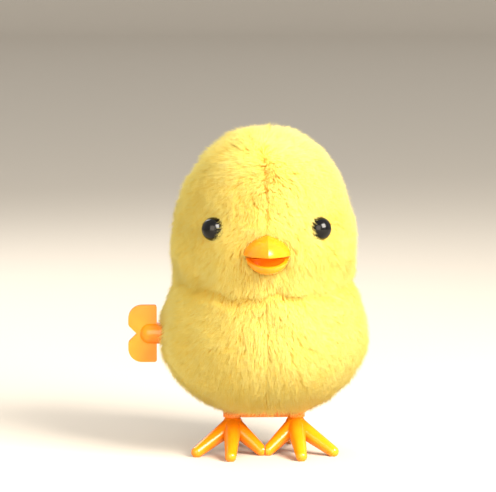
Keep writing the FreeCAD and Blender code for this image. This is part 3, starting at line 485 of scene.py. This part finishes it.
tuft_root = root[rng.choice(count, int(14500 / TUFT ** 2), replace=False)]
tuft = nearest(root, tuft_root)
tuft_turn = rng.normal(size=(len(tuft_root), 3))[tuft]
tuft_tone = rng.random(len(tuft_root))[tuft]

in_crease = crease_at(root)
side = np.sign(root[:, :1])
near_seam = np.exp(-np.abs(root[:, :1]) / 3.0)
brush = np.array([0.0, 0.0, -1.0]) + np.array([1.0, 0, 0]) * side * (0.10 + 0.10 * near_seam)
brush = brush + np.array([0.0, 0.35, 0.0])
outer_side = np.clip((from_eye * side * np.array([1, 0, 0])).sum(1), 0, 1)
brush = brush + from_eye * (1.3 * outer_side * np.exp(-((to_eye - eye_radius) / 2.2)))[:, None]
brush = brush - from_eye * (0.9 * (1 - outer_side) * np.exp(-((to_eye - eye_radius) / 1.6)))[:, None]
beak_way = unit((root - beak_middle) * np.array([1, 0, 1]))
brush = brush + beak_way * 0.15 * np.exp(-np.clip(to_beak - 1, 0, 9) / 0.35)[:, None]
brush = brush + 0.30 * wander(root, 16.0, 3) + 0.14 * tuft_turn + 0.20 * rng.normal(size=(count, 3))
brush = unit(brush - out * (brush * out).sum(1, keepdims=True))

lean = np.radians(34 + 5 * rng.normal(size=count) + 4 * wander(root, 9.0, 5)[:, 0])
lean = np.clip(lean, 0.1, 1.25)[:, None]
length = PILE * 1.25 * (1 + 0.13 * rng.normal(size=count)) * (1 + 0.07 * wander(root, 7.0, 8)[:, 1])
length *= 1 - (0.15 + 0.35 * outer_side) * np.exp(-np.clip(to_eye - eye_radius, 0, 99) / 1.6)
length *= 1 - 0.30 * np.exp(-np.clip(to_beak - 1, 0, 9) / 0.22)
length *= 1 - 0.06 * near_seam[:, 0]
length *= 1 - 0.42 * in_crease
length *= 1 + 0.30 * bump_of(root[:, 2] - hem, 5.0) + 0.10 * bump_of(root[:, 2] - hem - 22, 12)
wisp = rng.random(count) < 0.05
length[wisp] *= 1.22
under = rng.random(count) < 0.36
length[under] *= 0.80
length = np.clip(length, 1.2, PILE * 1.6)[:, None]

first_way = unit(out * np.cos(lean * 0.6) + brush * np.sin(lean * 0.6))
second_way = unit(out * np.cos(lean * 1.45) + brush * np.sin(lean * 1.45))
knee = root + first_way * length * 0.5
tip = knee + second_way * length * 0.5
tuft_tip = np.zeros((len(tuft_root), 3))
members = np.maximum(np.bincount(tuft, minlength=len(tuft_root)), 1)
for axis in range(3):
    tuft_tip[:, axis] = np.bincount(tuft, weights=tip[:, axis], minlength=len(tuft_root)) / members
pull = (0.18 + 0.08 * rng.normal(size=count))[:, None]
tip = tip + (tuft_tip[tuft] - tip) * pull
knee = knee + (tuft_tip[tuft] - tip) * pull * 0.25
print(f"pile {np.linalg.norm(tip - root, axis=1).mean():.1f} mm long on average, {len(tuft_root)} tufts")

# %% [markdown]
# Each strand is written straight into arrays, because a quarter of a million of them made one at a time
# would take minutes. Two numbers go with every corner: how far along its strand it is, and the tone of its
# strand. The tone varies at random by tuft and strand, and is pulled deeper in the neck crease as painted
# shade. The finish reads them and paints the roots a deeper gold than the tips, as painted shade between the
# fibres.

# %% Grow the strands
PER_PIECE = 19_500         # strands in one piece of pile
SOFTNESS = 0.72            # how far a strand is lit as the coat round it is, and not as a lone spike
RING = np.array([[math.cos(a), math.sin(a)] for a in (0, 2 * math.pi / 3, 4 * math.pi / 3)])
FACES = np.array([(0, 2, 1), (0, 1, 4), (0, 4, 3), (1, 2, 5), (1, 5, 4), (2, 0, 3), (2, 3, 5),
                  (3, 4, 6), (4, 5, 6), (5, 3, 6)])


def pile_mesh(name, chosen):
    """One mesh of closed three-sided strands."""
    many = len(chosen)
    along = unit(tip[chosen] - root[chosen])
    across = unit(np.cross(along, np.array([0.31, 0.17, 0.93])))
    third = np.cross(along, across)
    width = (WIDE * (1 + 0.15 * rng.normal(size=many))).clip(0.08, 0.3)[:, None, None] / 2
    ring = across[:, None] * RING[None, :, :1] + third[:, None] * RING[None, :, 1:]
    co = np.concatenate([root[chosen][:, None] + ring * width, knee[chosen][:, None] + ring * width * 0.85,
                         tip[chosen][:, None]], axis=1)
    faces = (FACES[None] + 7 * np.arange(many)[:, None, None]).reshape(-1, 3)
    mesh = bpy.data.meshes.new(name)
    mesh.vertices.add(co.shape[0] * 7)
    mesh.vertices.foreach_set("co", (co * MM).astype(np.float32).ravel())
    mesh.loops.add(faces.size)
    mesh.loops.foreach_set("vertex_index", faces.astype(np.int32).ravel())
    mesh.polygons.add(len(faces))
    mesh.polygons.foreach_set("loop_start", np.arange(0, faces.size, 3, dtype=np.int32))
    mesh.update(calc_edges=True)
    share = np.tile(np.array([0, 0, 0, 0.5, 0.5, 0.5, 1.0]), many)
    # Each strand's tone: random by tuft and strand, with painted shade in the neck crease.
    tone_with_crease_shade = np.repeat(tones_with_crease_shade[chosen], 7)
    for attribute, values in (("along", share), ("tone_with_crease_shade", tone_with_crease_shade)):
        mesh.attributes.new(attribute, "FLOAT", "POINT").data.foreach_set("value", values.astype(np.float32))
    corners = faces.ravel()
    lookup = np.stack([0.02 + 0.96 * tone_with_crease_shade[corners], 0.02 + 0.96 * share[corners]], 1)
    mesh.uv_layers.new(name="OFBake").data.foreach_set("uv", lookup.astype(np.float32).ravel())
    mesh.shade_smooth()
    own = np.concatenate([ring, ring, along[:, None]], axis=1)
    lit_as = unit(out[chosen][:, None] * SOFTNESS + own * (1 - SOFTNESS)).reshape(-1, 3)
    mesh.normals_split_custom_set_from_vertices(lit_as.astype(np.float32))
    made = bpy.data.objects.new(name, mesh)
    bpy.context.scene.collection.objects.link(made)
    return made


tones_with_crease_shade = 0.5 + 0.30 * (tuft_tone - 0.5) + 0.22 * rng.normal(size=count) + 0.1 * wander(root, 16.0, 9)[:, 2]
# In the neck crease the tone is pulled towards the deep ramp: painted shade in the crease.
tones_with_crease_shade = np.clip(tones_with_crease_shade - 0.5 * in_crease, 0, 1)
pile = {"left": [], "right": []}
for side_name, on_side in (("left", root[:, 0] > 0), ("right", root[:, 0] <= 0)):
    chosen = np.nonzero(on_side)[0]
    parts = max(1, math.ceil(len(chosen) / PER_PIECE))
    order = np.argsort(root[chosen, 2])
    for part, members_of in enumerate(np.array_split(chosen[order], parts), 1):
        pile[side_name].append(pile_mesh(f"pile_{side_name}_{part}", members_of))
print("pile pieces:", sum(len(p) for p in pile.values()))

for side_name, panel in panels.items():
    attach(panel, "shell")
    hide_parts(f"cover_{side_name}")
    for piece in pile[side_name]:
        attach(piece, "shell")

# %% [markdown]
# Each panel is one sheet of plush, pulled over its half of the shell.

# %% [markdown]
# ## Finishes
# Every surface gets a finish made of nodes, so that none is one flat colour. One small function adds a node,
# sets it and links it, and a second one builds the layers that all the moulded and metal finishes share:
# a colour that drifts between near tones, a gloss that varies, and a faint relief.

# %% A way to write nodes
def add(tree, kind, inputs=None, stops=None, **settings):
    """A node of this kind: inputs are values, or the sockets that feed them; stops fill a colour ramp."""
    node = tree.nodes.new("ShaderNode" + kind)
    for name, value in settings.items():
        setattr(node, name, value)
    for name, value in (inputs or {}).items():
        if isinstance(value, bpy.types.NodeSocket):
            tree.links.new(value, node.inputs[name])
        else:
            node.inputs[name].default_value = value
    for index, (place, colour) in enumerate(stops or []):
        ramp = node.color_ramp.elements
        stop = ramp[index] if index < 2 else ramp.new(place)
        stop.position = place
        stop.color = linear(colour)
    return node


def new_material(name):
    """An empty material and its node tree, with only an output."""
    made = bpy.data.materials.new(name)
    made.use_nodes = True
    made.node_tree.nodes.clear()
    return made, made.node_tree


def finish_of(tree, shader):
    """Link a shader to the material's output."""
    add(tree, "OutputMaterial", {"Surface": shader.outputs[0]})


def layered(name, colours, patch, gloss, relief, grain, metallic=0.0, stretch=(1, 1, 1), **constants):
    """A finish whose colour drifts over patches and whose gloss and relief vary with a finer grain; patch,
    grain and relief are in millimetres."""
    made, tree = new_material(name)
    place = add(tree, "TexCoord").outputs["Object"]
    place = add(tree, "Mapping", {"Vector": place, "Scale": stretch}).outputs[0]
    drift = add(tree, "TexNoise", {"Vector": place, "Scale": 1000 / patch, "Detail": 3.0})
    stops = [(0.32 + 0.36 * i / (len(colours) - 1), c) for i, c in enumerate(colours)]
    colour = add(tree, "ValToRGB", {"Fac": drift.outputs[0]}, stops=stops)
    fine = add(tree, "TexNoise", {"Vector": place, "Scale": 1000 / grain, "Detail": 4.0})
    rough = add(tree, "MapRange", {"Value": fine.outputs[0], "From Min": 0.3, "From Max": 0.7,
                                   "To Min": gloss[0], "To Max": gloss[1]})
    bump = add(tree, "Bump", {"Height": fine.outputs[0], "Strength": 0.6, "Distance": relief * MM})
    shader = add(tree, "BsdfPrincipled", {"Base Color": colour.outputs[0], "Roughness": rough.outputs[0],
                                          "Normal": bump.outputs[0], "Metallic": metallic})
    for socket, value in constants.items():
        shader.inputs[socket.replace("_", " ")].default_value = value
    finish_of(tree, shader)
    return made


finishes = {}

# %% [markdown]
# The beak, feet and key are one moulded orange plastic, ABS with a polished tool, which gives the sharp
# highlights that say "toy". Real ABS has an index near 1.54, set a little lower here so that the highlights
# don't wash the orange out. A little light goes into it, so the shaded
# sides stay a warm orange instead of turning brown.

# %% Orange plastic
finishes["orange_plastic"] = layered(
    "glossy_orange_ABS", ("D46F07", "DE7E0A", "E88C10"), 16.0, (0.16, 0.26), 0.012, 1.6,
    IOR=1.5, Specular_IOR_Level=0.42, Subsurface_Weight=0.1, Subsurface_Scale=0.0012)
orange_shader = finishes["orange_plastic"].node_tree.nodes["Principled BSDF"]
orange_shader.inputs["Subsurface Radius"].default_value = (1, 0.42, 0.08)    # red goes in the furthest

# %% [markdown]
# The eyes are black acrylic beads, polished all over. They are the darkest and shiniest thing on the toy,
# and their one clean highlight is what makes the face look alive. Handling leaves a faint haze on them.

# %% Black beads
finishes["eye_black"] = layered(
    "polished_black_bead", ("020202", "040404", "080706"), 6.0, (0.15, 0.22), 0.002, 0.9,
    IOR=1.46, Specular_IOR_Level=0.32)

# %% [markdown]
# Inside, the shell is a thin yellow moulding with a satin skin, the gears are milky acetal, which is waxy
# rather than shiny, and the washers behind the eyes are plain white plastic.

# %% Shell, gears and washers
finishes["shell_plastic"] = layered(
    "satin_yellow_shell", ("E9BE2E", "F2CB3F", "F6D455"), 20.0, (0.32, 0.48), 0.02, 1.2, IOR=1.5)
finishes["gear_white"] = layered(
    "waxy_acetal", ("E4E0D2", "EEEBE0", "F4F2EA"), 7.0, (0.34, 0.5), 0.01, 0.8, IOR=1.48,
    Subsurface_Weight=0.2, Subsurface_Scale=0.001)
finishes["washer_white"] = layered(
    "plain_white_plastic", ("E6E6E2", "F0F0EC", "F6F6F4"), 9.0, (0.3, 0.45), 0.01, 0.9, IOR=1.5)

# %% [markdown]
# The metals are told apart by colour and by the marks of how they were made. Plates and shafts are drawn
# steel, with fine lines along their length. The mainspring is hardened, which leaves a blue and straw bloom.
# The arbor and cams are turned brass.

# %% Metals
finishes["steel"] = layered(
    "brushed_steel", ("9FA2A5", "B4B7BA", "C6C8CA"), 5.0, (0.22, 0.42), 0.006, 0.7, 1.0, stretch=(1, 1, 7))
finishes["spring_steel"] = layered(
    "blued_spring_steel", ("3C4250", "55607A", "7C6A58"), 4.0, (0.2, 0.36), 0.004, 0.6, 1.0,
    stretch=(4, 1, 1))
finishes["brass"] = layered(
    "turned_brass", ("B98A3A", "D0A24C", "DDB566"), 5.0, (0.18, 0.34), 0.006, 0.6, 1.0, stretch=(8, 1, 1))

# %% [markdown]
# ## The plush finishes
# The backing is a knitted cloth in a deeper gold than the pile. Its loops are about half a millimetre, drawn
# at nearly twice that so that they show, and they are seen only where the pile parts.

# %% Backing cloth
KNIT_LOOP = 0.9            # millimetres
BACKING_PATCH = 11.0       # millimetres from one patch of colour to the next
made, tree = new_material("knitted_backing")
place = add(tree, "TexCoord").outputs["Object"]
loops = add(tree, "TexVoronoi", {"Vector": place, "Scale": 1000 / KNIT_LOOP})
drift = add(tree, "TexNoise", {"Vector": place, "Scale": 1000 / BACKING_PATCH, "Detail": 3.0})
tint = add(tree, "ValToRGB", {"Fac": drift.outputs[0]}, stops=[(0.3, "F2BE48"), (0.7, "F8D060")])
relief = add(tree, "Bump", {"Height": loops.outputs["Distance"], "Strength": 0.7, "Distance": 0.25 * MM})
shader = add(tree, "BsdfPrincipled", {"Base Color": tint.outputs[0], "Roughness": 0.95,
                                      "Normal": relief.outputs[0], "Specular IOR Level": 0.1})
finish_of(tree, shader)
backing_finish = made

# %% [markdown]
# The pile itself is a fine matt acrylic fibre. It is a pale lemon yellow at the tips. Light that has gone
# deep between the fibres and come out again has been coloured many times over, so the roots and every
# parting look golden. That is painted shade here: the colour runs to a deeper gold towards each root, and
# the tone, which varies at random by tuft, is pulled deeper in the neck crease.

# %% Pile
LIGHT_THROUGH = 0.48       # the share of the light that passes through a fibre
made, tree = new_material("soft_yellow_pile")
along = add(tree, "Attribute", attribute_name="along").outputs["Fac"]
# The tone read here varies at random by tuft and carries painted shade in the neck crease.
tone_with_crease_shade = add(tree, "Attribute", attribute_name="tone_with_crease_shade").outputs["Fac"]
# Both ramps run from a deeper gold at the root, which is painted shade, to the fibre's pale colour at the
# tip.
deep = add(tree, "ValToRGB", {"Fac": along}, stops=[(0.0, "FFBC30"), (0.5, "FFE060"), (1.0, "FFF088")])
pale = add(tree, "ValToRGB", {"Fac": along}, stops=[(0.0, "FFD250"), (0.5, "FFEC78"), (1.0, "FFF8B0")])
mixed_tone = add(tree, "Mix", {0: tone_with_crease_shade, 6: deep.outputs[0], 7: pale.outputs[0]}, data_type="RGBA")
shader = add(tree, "BsdfPrincipled", {"Base Color": mixed_tone.outputs[2], "Roughness": 0.62,
                                      "Specular IOR Level": 0.22})
through = add(tree, "BsdfTranslucent", {"Color": mixed_tone.outputs[2]})
mixed_light = add(tree, "MixShader", {0: LIGHT_THROUGH, 1: shader.outputs[0], 2: through.outputs[0]})
finish_of(tree, mixed_light)
pile_finish = made
for side_name, panel in panels.items():
    panel.data.materials.append(backing_finish)
    for piece in pile[side_name]:
        piece.data.materials.append(pile_finish)

# %% [markdown]
# Last, each hard piece from the frame takes the finish that its own material slot names.

# %% Finish the hard pieces
given = {}
for name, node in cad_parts.items():
    for place in node.material_slots:
        slot_name = place.material.name.split(".")[0]
        if slot_name in finishes:
            place.material = finishes[slot_name]
            given[slot_name] = given.get(slot_name, 0) + 1
        else:
            place.material = backing_finish
print("finishes given:", given)
